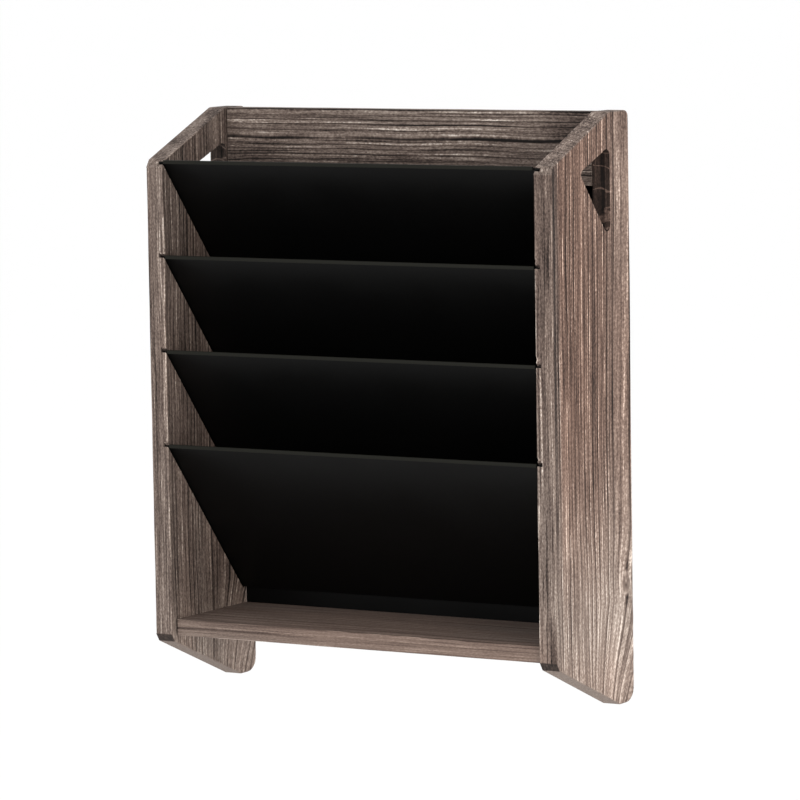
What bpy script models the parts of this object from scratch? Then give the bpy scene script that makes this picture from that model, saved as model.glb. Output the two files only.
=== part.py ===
"""Wall-hung paper organizer of torched wood with four slanted sheet-metal dividers.

Units are metres. +X points to the viewer's right, +Y into the wall and +Z up. The origin lies on the wall
plane, midway between the two keyholes and at the height where the wall screws carry the load. The dividers
lie in slanted saw grooves and pull out along them, upwards and forwards.
"""

import math

import bmesh
import bpy
from mathutils import Matrix, Vector

# Driving dimensions
WIDTH = 0.336
DEPTH = 0.115
BOARD = 0.0145
TOP_Z = 0.050  # top edge of the boards above the load line of the keyholes
GAP = 0.0003  # air between pieces that rest on each other

# Side boards
CUT_ANGLE = math.radians(22.5)  # both sloped ends, from the horizontal
TOP_FLAT = 0.029  # level stretch of the top end, at the back
FRONT_BOTTOM_DROP = 0.386  # from the top edge down to the front bottom corner
LOWEST_DROP = 0.4245  # from the top edge down to the level stretch of the bottom end
NOSE_CUT = 0.0042  # length taken off along each side of a front corner
TOP_BACK_RADIUS = 0.006
BOTTOM_BACK_RADIUS = 0.012
ARRIS = 0.0014  # rounding of the long edges

# Handle holes, triangular
HANDLE_BACK = 0.0285  # from the wall plane to the upright side of the hole
HANDLE_TOP_DROP = 0.024
HANDLE_HEIGHT = 0.069
HANDLE_REACH = 0.045  # from the upright side to the tip
HANDLE_TIP_DROP = 0.041
HANDLE_RADIUS = 0.005
HANDLE_TIP_RADIUS = 0.0035
HANDLE_ARRIS = 0.0009

# Grooves and dividers
GROOVE_ANGLE = math.radians(50)  # steepness, from the horizontal
GROOVE_WIDTH = 0.0024
GROOVE_DEPTH = 0.0045
GROOVE_FIRST_DROP = 0.0357  # lower wall of the first groove at the front edge, below the top edge
GROOVE_PITCH = 0.0691
GROOVE_RUN = 0.0985  # depth from the front edge to the closed end, measured level
DIVIDERS = 4
SHEET = 0.0008
LIP_SETBACK = 0.0002
LIP_RADIUS = 0.0009
LIP_DROP = 0.00125  # from a groove's lower wall at the front edge down to the lip's edge
LIP_SIDE_AIR = 0.0006  # the lip ends this far from the boards; only the sheet runs on into the grooves
TAB_SETBACK = 0.0024  # front edge of the sheet's ends in the grooves, behind the boards' front edges

# Rail, shelf and back sheet
RAIL_FRONT = 0.028  # front face of the rail, from the wall plane
RAIL_HEIGHT = 0.0533
SHELF_SETBACK = 0.0055
SHELF_TOP_DROP = 0.371
SHELF_THICK = 0.012
SOFT_ARRIS = 0.0008
PANEL = 0.001
PANEL_TOP_DROP = 0.012
PANEL_SIDE_AIR = 0.0004

# Dowels and screws
DOWEL_RADIUS = 0.003
DOWEL_LENGTH = 0.024
DOWEL_IN_BOARD = 0.009
RAIL_DOWEL_DROPS = (0.014, 0.040)
SHELF_DOWEL_FRONTS = (0.028, 0.078)
SCREW_SPREAD = 0.120
RAIL_SCREW_DROP = 0.034
PAN_HEAD_RADIUS = 0.0033
PAN_HEAD_HEIGHT = 0.0021
PAN_SHANK_RADIUS = 0.0015
PAN_SHANK_LENGTH = 0.0115

# Keyhole plates
PLATE_WIDTH = 0.0100
PLATE_TOP = 0.0140
PLATE_BOTTOM = -0.0260
PLATE_THICK = 0.0014
KEY_HOLE_RADIUS = 0.0036
KEY_SLOT_RADIUS = 0.0019
KEY_HOLE_DROP = 0.010
POCKET_WIDTH = 0.0080
POCKET_DEPTH = 0.0070
POCKET_TOP = 0.0045
POCKET_BOTTOM = -0.0155
PLATE_SCREWS = {"top": 0.0095, "bottom": -0.0210}
FLAT_HEAD_RADIUS = 0.0024
FLAT_SHANK_RADIUS = 0.0012
FLAT_HEAD_HEIGHT = 0.0012
FLAT_SCREW_LENGTH = 0.0105

INNER = WIDTH / 2 - BOARD  # from the middle to a board's inner face
FRONT = -DEPTH
SIDES = {"left": -1, "right": 1}


def down(drop):
    """Height of a point that lies this far below the boards' top edge."""
    return TOP_Z - drop


def material(name, colour, roughness, metallic=0.0):
    """A plain Principled material."""
    made = bpy.data.materials.new(name)
    made.use_nodes = True
    shader = made.node_tree.nodes["Principled BSDF"]
    shader.inputs["Base Color"].default_value = (*colour, 1.0)
    shader.inputs["Roughness"].default_value = roughness
    shader.inputs["Metallic"].default_value = metallic
    return made


def rounded(corners, steps=4):
    """Outline from (y, z, radius) corners; each corner becomes an arc tangent to both of its sides."""
    outline = []
    points = [Vector((y, z)) for y, z, _ in corners]
    for index, (_, _, radius) in enumerate(corners):
        here = points[index]
        to_last = (points[index - 1] - here).normalized()
        to_next = (points[(index + 1) % len(points)] - here).normalized()
        if radius == 0:
            outline.append(here)
            continue
        half = to_last.angle(to_next) / 2
        middle = here + (to_last + to_next).normalized() * radius / math.sin(half)
        start = here + to_last * radius / math.tan(half) - middle
        sweep = start.angle_signed(here + to_next * radius / math.tan(half) - middle)
        for step in range(steps + 1):
            turn = Matrix.Rotation(-sweep * step / steps, 2)
            outline.append(middle + turn @ start)
    return outline


def prism(name, outline, low_x, high_x):
    """A closed solid: a (y, z) outline drawn out along X."""
    mesh = bmesh.new()
    ring = [mesh.verts.new((low_x, y, z)) for y, z in outline]
    face = mesh.faces.new(ring)
    grown = bmesh.ops.extrude_face_region(mesh, geom=[face])
    moved = [part for part in grown["geom"] if isinstance(part, bmesh.types.BMVert)]
    bmesh.ops.translate(mesh, verts=moved, vec=(high_x - low_x, 0, 0))
    return finish(name, mesh)


def block(name, low, high):
    """A box between two corners."""
    outline = [(low[1], low[2]), (high[1], low[2]), (high[1], high[2]), (low[1], high[2])]
    return prism(name, outline, low[0], high[0])


def turned(name, profile, origin, axis, segments=24):
    """A turned solid: (radius, distance along the axis) points between two poles, spun about the axis."""
    mesh = bmesh.new()
    line = [(0, profile[0][1]), *profile, (0, profile[-1][1])]
    points = [mesh.verts.new((radius, 0, along)) for radius, along in line]
    edges = [mesh.edges.new(pair) for pair in zip(points, points[1:])]
    bmesh.ops.spin(
        mesh, geom=points + edges, cent=(0, 0, 0), axis=(0, 0, 1), angle=2 * math.pi, steps=segments
    )
    bmesh.ops.remove_doubles(mesh, verts=mesh.verts, dist=1e-6)
    to_place = Vector((0, 0, 1)).rotation_difference(Vector(axis)).to_matrix().to_4x4()
    bmesh.ops.transform(mesh, matrix=to_place, verts=mesh.verts)
    made = finish(name, mesh)
    made.location = origin
    made.data.shade_smooth()
    made.data.set_sharp_from_angle(angle=math.radians(35))
    return made


def finish(name, mesh):
    """Turns a bmesh into a scene object with its faces pointing out."""
    bmesh.ops.recalc_face_normals(mesh, faces=mesh.faces)
    data = bpy.data.meshes.new(name)
    mesh.to_mesh(data)
    mesh.free()
    made = bpy.data.objects.new(name, data)
    bpy.context.scene.collection.objects.link(made)
    return made


def soften(piece, width, segments=2):
    """Rounds every sharp edge of a piece."""
    bevel = piece.modifiers.new("arris", "BEVEL")
    bevel.width = width
    bevel.segments = segments
    bevel.limit_method = "ANGLE"
    bevel.angle_limit = math.radians(25)


def cut(piece, tool):
    """Takes a hidden tool's volume out of a piece."""
    tool.hide_render = True
    tool.display_type = "WIRE"
    boolean = piece.modifiers.new(tool.name, "BOOLEAN")
    boolean.operation = "DIFFERENCE"
    boolean.solver = "EXACT"
    boolean.object = tool


def drill(piece, name, origin, axis, radius, depth, segments=16):
    """Drills a round hole from just outside a face to a depth below it."""
    start = Vector(origin) - Vector(axis) * 0.002
    cut(piece, turned(name, [(radius, 0), (radius, depth + 0.002)], start, axis, segments))


def dress(piece, finish_material):
    """Gives a piece its one material."""
    piece.data.materials.append(finish_material)
    return piece


# Side boards


def board_outline():
    """Side view of a board: square back, sloped ends and clipped front corners."""
    back = FRONT + DEPTH
    flat_start = back - TOP_FLAT
    front_top = down((DEPTH - TOP_FLAT) * math.tan(CUT_ANGLE))
    slope_run = (LOWEST_DROP - FRONT_BOTTOM_DROP) / math.tan(CUT_ANGLE)
    along_y = NOSE_CUT * math.cos(CUT_ANGLE)
    along_z = NOSE_CUT * math.sin(CUT_ANGLE)
    front_bottom = down(FRONT_BOTTOM_DROP)
    return rounded(
        [
            (FRONT, front_bottom + NOSE_CUT, 0),
            (FRONT, front_top - NOSE_CUT, 0),
            (FRONT + along_y, front_top + along_z, 0),
            (flat_start, down(0), TOP_BACK_RADIUS),
            (back, down(0), TOP_BACK_RADIUS),
            (back, down(LOWEST_DROP), BOTTOM_BACK_RADIUS),
            (FRONT + slope_run, down(LOWEST_DROP), TOP_BACK_RADIUS),
            (FRONT + along_y, front_bottom - along_z, 0),
        ]
    )


def handle_outline():
    """Side view of the handle hole: an upright side at the back and a blunt tip to the front."""
    rear = -HANDLE_BACK
    return rounded(
        [
            (rear, down(HANDLE_TOP_DROP), HANDLE_RADIUS),
            (rear, down(HANDLE_TOP_DROP + HANDLE_HEIGHT), HANDLE_RADIUS),
            (rear - HANDLE_REACH, down(HANDLE_TIP_DROP), HANDLE_TIP_RADIUS),
        ],
        steps=5,
    )


def groove_point(index, run, offset):
    """Point in side view, `run` behind the front edge and `offset` square to a groove's lower wall."""
    lower = down(GROOVE_FIRST_DROP + index * GROOVE_PITCH) - run * math.tan(GROOVE_ANGLE)
    return (
        FRONT + run + offset * math.sin(GROOVE_ANGLE),
        lower + offset * math.cos(GROOVE_ANGLE),
    )


def groove_tool(index, side, name):
    """The saw's path for one groove, open through the front edge and closed at the back."""
    reach = 0.010  # past the front edge, so that the cut runs out
    outline = [
        groove_point(index, -reach, 0),
        groove_point(index, GROOVE_RUN, 0),
        groove_point(index, GROOVE_RUN, GROOVE_WIDTH),
        groove_point(index, -reach, GROOVE_WIDTH),
    ]
    faces = sorted((side * (INNER - 0.003), side * (INNER + GROOVE_DEPTH)))
    return prism(name, outline, *faces)


def dowel_places(side):
    """Name, place and piece of each dowel on one side; places are where boards meet the cross pieces."""
    rail_y = -RAIL_FRONT + BOARD / 2
    shelf_z = down(SHELF_TOP_DROP + SHELF_THICK / 2)
    rail = [
        (f"rail_dowel_{place}", rail_y, down(drop))
        for place, drop in zip(("top", "low"), RAIL_DOWEL_DROPS)
    ]
    shelf = [
        (f"shelf_dowel_{place}", FRONT + front, shelf_z)
        for place, front in zip(("front", "back"), SHELF_DOWEL_FRONTS)
    ]
    return [(name, Vector((side * INNER, y, z))) for name, y, z in rail + shelf]


def side_board(label, side, wood):
    """One side board with its handle hole, grooves, dowel holes and keyhole pocket."""
    name = f"side_board_{label}"
    piece = prism(name, board_outline(), *sorted((side * INNER, side * WIDTH / 2)))
    cut(piece, prism(f"{name}_handle_tool", handle_outline(), *sorted((side * 0.140, side * 0.180))))
    soften(piece, ARRIS)
    for index in range(DIVIDERS):
        cut(piece, groove_tool(index, side, f"{name}_groove_tool_{index + 1}"))
    for dowel, place in dowel_places(side):
        drill(piece, f"{name}_{dowel}_tool", place, (side, 0, 0), DOWEL_RADIUS + GAP, DOWEL_IN_BOARD + GAP)
    middle = side * (WIDTH / 2 - BOARD / 2)
    seat = PLATE_THICK + GAP
    half_plate = PLATE_WIDTH / 2 + GAP
    cut(
        piece,
        block(
            f"{name}_plate_tool",
            (middle - half_plate, -seat, PLATE_BOTTOM - GAP),
            (middle + half_plate, 0.002, PLATE_TOP + GAP),
        ),
    )
    cut(
        piece,
        block(
            f"{name}_pocket_tool",
            (middle - POCKET_WIDTH / 2, -POCKET_DEPTH, POCKET_BOTTOM),
            (middle + POCKET_WIDTH / 2, 0.002, POCKET_TOP),
        ),
    )
    for place, height in PLATE_SCREWS.items():
        drill(
            piece,
            f"{name}_{place}_screw_tool",
            (middle, 0, height),
            (0, -1, 0),
            FLAT_SHANK_RADIUS + GAP,
            FLAT_SCREW_LENGTH + GAP,
            12,
        )
    return dress(piece, wood)


# Cross pieces


def cross_piece(name, low, high, wood, dowel_word):
    """A wood board between the side boards, drilled for the dowels in its ends."""
    piece = block(name, (GAP - INNER, *low), (INNER - GAP, *high))
    soften(piece, SOFT_ARRIS)
    for label, side in SIDES.items():
        for dowel, place in dowel_places(side):
            if not dowel.startswith(dowel_word):
                continue
            start = place - Vector((side * GAP, 0, 0))
            depth = DOWEL_LENGTH - DOWEL_IN_BOARD + GAP
            drill(piece, f"{name}_{dowel}_{label}_tool", start, (-side, 0, 0), DOWEL_RADIUS + GAP, depth)
    return dress(piece, wood)


def screw_places():
    """Name and place of each screw of the back sheet, on the sheet's rear face."""
    rows = {
        "rail": down(RAIL_SCREW_DROP),
        "shelf": down(SHELF_TOP_DROP + SHELF_THICK / 2),
    }
    columns = {"left": -SCREW_SPREAD, "middle": 0.0, "right": SCREW_SPREAD}
    rear = -RAIL_FRONT + BOARD + GAP + PANEL
    return [
        (f"panel_screw_{row}_{column}", Vector((x, rear, z)))
        for row, z in rows.items()
        for column, x in columns.items()
    ]


def drill_for_screws(piece, row):
    """Pilot holes for the back sheet's screws in the rail or in the shelf."""
    for name, place in screw_places():
        if row in name:
            start = place - Vector((0, PANEL + GAP, 0))
            drill(piece, f"{piece.name}_{name}_tool", start, (0, -1, 0), PAN_SHANK_RADIUS + GAP, 0.0115, 12)


def top_rail(wood):
    """The rail across the top, flush with the boards' top edges."""
    rear = -RAIL_FRONT + BOARD
    low = (-RAIL_FRONT, down(RAIL_HEIGHT))
    piece = cross_piece("top_rail", low, (rear, down(0)), wood, "rail")
    drill_for_screws(piece, "rail")
    return piece


def shelf_board(wood):
    """The shelf under the lowest divider."""
    rear = -RAIL_FRONT + BOARD
    low = (FRONT + SHELF_SETBACK, down(SHELF_TOP_DROP + SHELF_THICK))
    piece = cross_piece("shelf_board", low, (rear, down(SHELF_TOP_DROP)), wood, "shelf")
    drill_for_screws(piece, "shelf")
    return piece


def back_panel(metal):
    """The black sheet behind the rail and the shelf."""
    front = -RAIL_FRONT + BOARD + GAP
    half = INNER - PANEL_SIDE_AIR
    piece = block(
        "back_panel",
        (-half, front, down(SHELF_TOP_DROP + SHELF_THICK)),
        (half, front + PANEL, down(PANEL_TOP_DROP)),
    )
    for name, place in screw_places():
        drill(piece, f"back_panel_{name}_tool", place, (0, -1, 0), PAN_SHANK_RADIUS + GAP, PANEL + 0.002, 12)
    return dress(piece, metal)


# Dividers


def divider(index, metal):
    """One slanted sheet whose front edge is folded down into an upright lip between the boards."""
    under = GROOVE_WIDTH - GAP - SHEET  # the sheet lies against the groove's upper wall
    over = GROOVE_WIDTH - GAP
    slope = math.tan(GROOVE_ANGLE)
    wall = down(GROOVE_FIRST_DROP + index * GROOVE_PITCH)
    rise = 1 / math.cos(GROOVE_ANGLE)  # from an offset square to the groove to one straight up

    def on_slope(y, offset):
        return (y, wall - (y - FRONT) * slope + offset * rise)

    lip_front = FRONT + LIP_SETBACK
    lip_back = lip_front + SHEET
    outline = rounded(
        [
            (*groove_point(index, GROOVE_RUN - GAP, under), 0),
            (*groove_point(index, GROOVE_RUN - GAP, over), 0),
            (*on_slope(lip_front, over), LIP_RADIUS),
            (lip_front, wall - LIP_DROP, 0),
            (lip_back, wall - LIP_DROP, 0),
            (*on_slope(lip_back, under), LIP_RADIUS - SHEET),
        ],
        steps=5,
    )
    half = INNER + GROOVE_DEPTH - GAP
    name = f"divider_{index + 1}"
    piece = prism(name, outline, -half, half)
    piece.data.transform(Matrix.Translation((0, -lip_front, -wall)))
    piece.location = (0, lip_front, wall)
    for label, side in SIDES.items():
        near, far = sorted((side * (INNER - LIP_SIDE_AIR), side * (half + 0.002)))
        low = (near, FRONT - 0.002, wall - 0.004)
        cut(piece, block(f"{name}_{label}_tab_tool", low, (far, FRONT + TAB_SETBACK, wall + 0.005)))
    return dress(piece, metal)


# Fasteners and hangers


def dowel(name, place, side, wood):
    """A wood dowel with chamfered ends, bridging a board and a cross piece."""
    nose = 0.0006
    start = place + Vector((side * DOWEL_IN_BOARD, 0, 0))
    profile = [
        (DOWEL_RADIUS - nose, 0),
        (DOWEL_RADIUS, nose),
        (DOWEL_RADIUS, DOWEL_LENGTH - nose),
        (DOWEL_RADIUS - nose, DOWEL_LENGTH),
    ]
    return dress(turned(name, profile, start, (-side, 0, 0), 16), wood)


def pan_screw(name, place, metal):
    """A pan-head screw; its head bears on the back sheet and its point is in the wood."""
    seat = place + Vector((0, GAP, 0))
    profile = [
        (PAN_HEAD_RADIUS * 0.70, -PAN_HEAD_HEIGHT),
        (PAN_HEAD_RADIUS * 0.95, -PAN_HEAD_HEIGHT * 0.7),
        (PAN_HEAD_RADIUS, -PAN_HEAD_HEIGHT * 0.35),
        (PAN_HEAD_RADIUS, 0),
        (PAN_SHANK_RADIUS, 0),
        (PAN_SHANK_RADIUS, PAN_SHANK_LENGTH - 0.0025),
        (PAN_SHANK_RADIUS * 0.2, PAN_SHANK_LENGTH),
    ]
    return dress(turned(name, profile, seat, (0, -1, 0), 16), metal)


def hanger_plate(label, side, metal):
    """A plate with a keyhole and two countersunk holes, let in flush with the back edge."""
    middle = side * (WIDTH / 2 - BOARD / 2)
    name = f"hanger_plate_{label}"
    half = PLATE_WIDTH / 2
    piece = block(name, (middle - half, -PLATE_THICK, PLATE_BOTTOM), (middle + half, 0, PLATE_TOP))
    entry = (middle, 0.001, -KEY_HOLE_DROP)
    entry_profile = [(KEY_HOLE_RADIUS, 0), (KEY_HOLE_RADIUS, 0.004)]
    cut(piece, turned(f"{name}_entry_tool", entry_profile, entry, (0, -1, 0)))
    slot_end = (middle, 0.001, 0)
    slot_profile = [(KEY_SLOT_RADIUS, 0), (KEY_SLOT_RADIUS, 0.004)]
    cut(piece, turned(f"{name}_slot_tool", slot_profile, slot_end, (0, -1, 0)))
    low = (middle - KEY_SLOT_RADIUS, -0.003, -KEY_HOLE_DROP)
    cut(piece, block(f"{name}_neck_tool", low, (middle + KEY_SLOT_RADIUS, 0.001, 0)))
    for place, height in PLATE_SCREWS.items():
        cone = [
            (FLAT_HEAD_RADIUS + GAP + 0.0005, -0.0005),
            (FLAT_SHANK_RADIUS + GAP, FLAT_HEAD_HEIGHT),
            (FLAT_SHANK_RADIUS + GAP, 0.003),
        ]
        cut(piece, turned(f"{name}_{place}_tool", cone, (middle, 0, height), (0, -1, 0), 16))
    return dress(piece, metal)


def flat_screw(name, x, height, metal):
    """A countersunk screw whose head is flush with the plate."""
    profile = [
        (FLAT_HEAD_RADIUS, 0),
        (FLAT_SHANK_RADIUS, FLAT_HEAD_HEIGHT),
        (FLAT_SHANK_RADIUS, FLAT_SCREW_LENGTH - 0.002),
        (FLAT_SHANK_RADIUS * 0.2, FLAT_SCREW_LENGTH),
    ]
    return dress(turned(name, profile, (x, -0.0001, height), (0, -1, 0), 16), metal)


def main():
    for old in list(bpy.data.objects):
        bpy.data.objects.remove(old, do_unlink=True)
    torched = material("torched_wood", (0.13, 0.09, 0.07), 0.75)
    beech = material("dowel_beech", (0.55, 0.38, 0.22), 0.6)
    black = material("satin_black_steel", (0.008, 0.008, 0.009), 0.38)
    zinc = material("zinc_plated_steel", (0.55, 0.55, 0.53), 0.35, 1.0)
    oxide = material("blackened_screw_steel", (0.03, 0.03, 0.03), 0.4, 1.0)

    for label, side in SIDES.items():
        side_board(label, side, torched)
        hanger_plate(label, side, zinc)
        for name, place in dowel_places(side):
            dowel(f"{name}_{label}", place, side, beech)
        for place, height in PLATE_SCREWS.items():
            x = side * (WIDTH / 2 - BOARD / 2)
            flat_screw(f"hanger_screw_{place}_{label}", x, height, zinc)
    top_rail(torched)
    shelf_board(torched)
    back_panel(black)
    for name, place in screw_places():
        pan_screw(name, place, oxide)
    for index in range(DIVIDERS):
        divider(index, black)


if __name__ == "__main__":
    main()
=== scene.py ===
"""Looks of a wall-hung paper organizer: torched and brushed wood boards and four folded black sheets."""

import logging
import math
from dataclasses import dataclass, field
from enum import Enum

import bmesh
import bpy
import numpy as np
from mathutils import Matrix, Vector


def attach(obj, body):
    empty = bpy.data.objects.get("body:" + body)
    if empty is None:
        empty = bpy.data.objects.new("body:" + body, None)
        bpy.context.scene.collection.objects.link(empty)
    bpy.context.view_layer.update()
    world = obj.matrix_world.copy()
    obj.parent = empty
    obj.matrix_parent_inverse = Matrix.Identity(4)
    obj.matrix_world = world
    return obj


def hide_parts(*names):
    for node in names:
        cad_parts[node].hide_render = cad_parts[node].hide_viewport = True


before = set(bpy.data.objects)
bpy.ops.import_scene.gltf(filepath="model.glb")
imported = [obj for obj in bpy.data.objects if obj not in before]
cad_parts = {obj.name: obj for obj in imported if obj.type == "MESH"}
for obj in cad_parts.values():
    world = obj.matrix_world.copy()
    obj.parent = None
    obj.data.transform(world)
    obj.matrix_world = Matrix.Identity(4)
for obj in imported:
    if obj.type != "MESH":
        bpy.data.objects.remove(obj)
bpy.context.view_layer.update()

MM = 0.001
LOG = logging.getLogger("organizer")

Array = np.ndarray


# ---------------------------------------------------------------- colour and nodes


def linear(hex_colour: str) -> tuple[float, float, float, float]:
    """Turns an sRGB hex colour into a linear one.

    Args:
        hex_colour: six hex digits after a hash sign.

    Returns:
        Red, green, blue and an alpha of one, linear.
    """
    parts = [int(hex_colour[i : i + 2], 16) / 255 for i in (1, 3, 5)]
    curved = [c / 12.92 if c <= 0.04045 else ((c + 0.055) / 1.055) ** 2.4 for c in parts]
    return (curved[0], curved[1], curved[2], 1.0)


def add(
    tree: bpy.types.NodeTree,
    kind: str,
    settings: dict[str | int, object] | None = None,
    links: dict[str | int, bpy.types.NodeSocket] | None = None,
) -> bpy.types.Node:
    """Adds one node with its settings and links.

    Args:
        tree: the node tree.
        kind: Blender's name of the node type.
        settings: a node's attribute by name, or an input's value by "=" and the input's name, or by number.
        links: the sockets to plug in, by input name or number.

    Returns:
        The node.
    """
    node = tree.nodes.new(kind)
    for key, value in (settings or {}).items():
        if isinstance(key, int):
            node.inputs[key].default_value = value
        elif key.startswith("="):
            node.inputs[key[1:]].default_value = value
        else:
            setattr(node, key, value)
    for key, socket in (links or {}).items():
        tree.links.new(socket, node.inputs[key])
    return node


def ramp(
    tree: bpy.types.NodeTree, value: bpy.types.NodeSocket, stops: tuple[tuple[float, str], ...]
) -> bpy.types.NodeSocket:
    """A colour ramp.

    Args:
        tree: the node tree.
        value: the socket that drives it.
        stops: position and sRGB hex colour of each stop.

    Returns:
        The ramp's colour.
    """
    node = add(tree, "ShaderNodeValToRGB", links={0: value})
    marks = node.color_ramp.elements
    while len(marks) < len(stops):
        marks.new(0.5)
    for mark, (position, colour) in zip(marks, stops):
        mark.position = position
        mark.color = linear(colour)
    return node.outputs["Color"]


def blank_material(name: str) -> tuple[bpy.types.Material, bpy.types.NodeTree, bpy.types.Node]:
    """A new material with only its Principled shader and output.

    Args:
        name: the finish's name.

    Returns:
        The material, its node tree and its Principled shader.
    """
    material = bpy.data.materials.new(name)
    material.use_nodes = True
    tree = material.node_tree
    return material, tree, tree.nodes["Principled BSDF"]


# ---------------------------------------------------------------- noise on arrays


def lattice(cells: Array, seed: int) -> Array:
    """A random number from 0 to 1 for each integer cell, the same on every run.

    Args:
        cells: integer coordinates, one row of three per point.
        seed: picks one random field.

    Returns:
        One number per point, from the cell's coordinates mixed by integer multiplications and shifts.
    """
    c = cells.astype(np.int64).astype(np.uint32)
    h = c[:, 0] * np.uint32(0x8DA6B343) ^ c[:, 1] * np.uint32(0xD8163841) ^ c[:, 2] * np.uint32(0xCB1AB31F)
    h ^= np.uint32((seed * 0x9E3779B1) & 0xFFFFFFFF)
    h ^= h >> np.uint32(16)
    h *= np.uint32(0x7FEB352D)
    h ^= h >> np.uint32(15)
    h *= np.uint32(0x846CA68B)
    h ^= h >> np.uint32(16)
    return h.astype(np.float64) / 0xFFFFFFFF


def noise(u: Array | float, v: Array | float, w: Array | float, seed: int) -> Array:
    """Smooth value noise: the eight random corners of each cell, blended by 3t^2 - 2t^3 along each axis.

    Args:
        u, v, w: coordinates in cells.
        seed: picks one random field.

    Returns:
        Values from -1 to 1.
    """
    u, v, w = np.broadcast_arrays(np.asarray(u, float), np.asarray(v, float), np.asarray(w, float))
    points = np.stack([u.ravel(), v.ravel(), w.ravel()], axis=1)
    low = np.floor(points)
    t = points - low
    t = t * t * (3 - 2 * t)
    total = np.zeros(len(points))
    for corner in range(8):
        step = np.array([corner & 1, corner >> 1 & 1, corner >> 2 & 1])
        weight = np.prod(np.where(step == 1, t, 1 - t), axis=1)
        total += weight * lattice(low + step, seed)
    return (2 * total - 1).reshape(u.shape)


def smooth(low: float, high: float, value: Array | float) -> Array:
    """Smoothstep: 0 at low, 1 at high, 3t^2 - 2t^3 between them.

    Args:
        low, high: where the step starts and ends.
        value: what is stepped.

    Returns:
        Values from 0 to 1.
    """
    t = np.clip((np.asarray(value, float) - low) / (high - low), 0, 1)
    return t * t * (3 - 2 * t)


def bell(value: Array, centre: float, width: float) -> Array:
    """exp(-((value - centre) / width)^2)."""
    return np.exp(-(((value - centre) / width) ** 2))


# ---------------------------------------------------------------- meshes


def link_mesh(name: str, points: Array, faces: list[Array]) -> bpy.types.Object:
    """Makes an object from arrays, with its faces turned outwards and smooth.

    Args:
        name: the piece's name.
        points: vertices in metres, one row each.
        faces: arrays of quads or triangles, one row of vertex numbers each.

    Returns:
        The linked object, at the origin.
    """
    mesh = bpy.data.meshes.new(name)
    rows = [row for block in faces for row in block.tolist()]
    mesh.from_pydata(points.tolist(), [], rows)
    shell = bmesh.new()
    shell.from_mesh(mesh)
    bmesh.ops.recalc_face_normals(shell, faces=shell.faces)
    shell.to_mesh(mesh)
    shell.free()
    mesh.shade_smooth()
    piece = bpy.data.objects.new(name, mesh)
    bpy.context.scene.collection.objects.link(piece)
    return piece


def fix_shading(piece: bpy.types.Object, angle: float) -> None:
    """Keeps edges steeper than an angle, in degrees, crisp."""
    piece.data.shade_smooth()
    piece.data.set_sharp_from_angle(angle=math.radians(angle))


def arc_corners(corners: list[tuple[float, float, float]], steps: int = 6) -> Array:
    """An outline whose corners are arcs tangent to both of their sides.

    Args:
        corners: (a, b, radius) of each corner, in order.
        steps: straight pieces per arc.

    Returns:
        The outline's points, one row each; an arc's are centre + radius (cos, sin) between its tangents.
    """
    points = np.array([corner[:2] for corner in corners])
    outline = []
    for index, (_, _, radius) in enumerate(corners):
        here = points[index]
        last = points[index - 1] - here
        nxt = points[(index + 1) % len(points)] - here
        last, nxt = last / np.linalg.norm(last), nxt / np.linalg.norm(nxt)
        if radius <= 0:
            outline.append(here[None])
            continue
        half = math.acos(float(np.clip(last @ nxt, -1, 1))) / 2
        middle = here + (last + nxt) / np.linalg.norm(last + nxt) * radius / math.sin(half)
        first = here + last * radius / math.tan(half) - middle
        final = here + nxt * radius / math.tan(half) - middle
        start, end = math.atan2(first[1], first[0]), math.atan2(final[1], final[0])
        sweep = (end - start + math.pi) % (2 * math.pi) - math.pi
        angles = start + sweep * np.linspace(0, 1, steps + 1)
        outline.append(middle + radius * np.stack([np.cos(angles), np.sin(angles)], axis=1))
    return np.concatenate(outline)


def refine(outline: Array, spacing: float) -> Array:
    """Splits an outline's long sides so that no two points are further apart than the spacing."""
    pieces = []
    for here, there in zip(outline, np.roll(outline, -1, axis=0)):
        count = max(1, math.ceil(float(np.linalg.norm(there - here)) / spacing))
        pieces.append(here + (there - here) * (np.arange(count) / count)[:, None])
    return np.concatenate(pieces)


def swept(outline: Array, stations: Array) -> tuple[Array, list[Array]]:
    """A profile carried along X: point (i, j) is (station i, outline point j), closed by one fan at each end.

    Args:
        outline: (y, z) points.
        stations: x of each section.

    Returns:
        Vertices and faces of the closed solid.
    """
    n, m = len(outline), len(stations)
    x = np.repeat(stations, n)
    yz = np.tile(outline, (m, 1))
    points = np.column_stack([x, yz])
    i, j = np.meshgrid(np.arange(m - 1), np.arange(n), indexing="ij")
    k = (j + 1) % n
    quads = np.stack([i * n + j, i * n + k, (i + 1) * n + k, (i + 1) * n + j], axis=-1).reshape(-1, 4)
    caps = [np.arange(n)[::-1][None], (np.arange(n) + (m - 1) * n)[None]]
    return points, [quads, *caps]


def box_faces(low: tuple[float, float, float], high: tuple[float, float, float]) -> tuple[Array, list[Array]]:
    """A box between two corners, as a swept rectangle."""
    outline = np.array([(low[1], low[2]), (high[1], low[2]), (high[1], high[2]), (low[1], high[2])])
    return swept(outline, np.array([low[0], high[0]]))


def joined(parts: list[tuple[Array, list[Array]]]) -> tuple[Array, list[Array]]:
    """Several closed solids as one set of vertices and faces."""
    points, faces, start = [], [], 0
    for vertices, blocks in parts:
        points.append(vertices)
        faces += [block + start for block in blocks]
        start += len(vertices)
    return np.concatenate(points), faces


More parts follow.
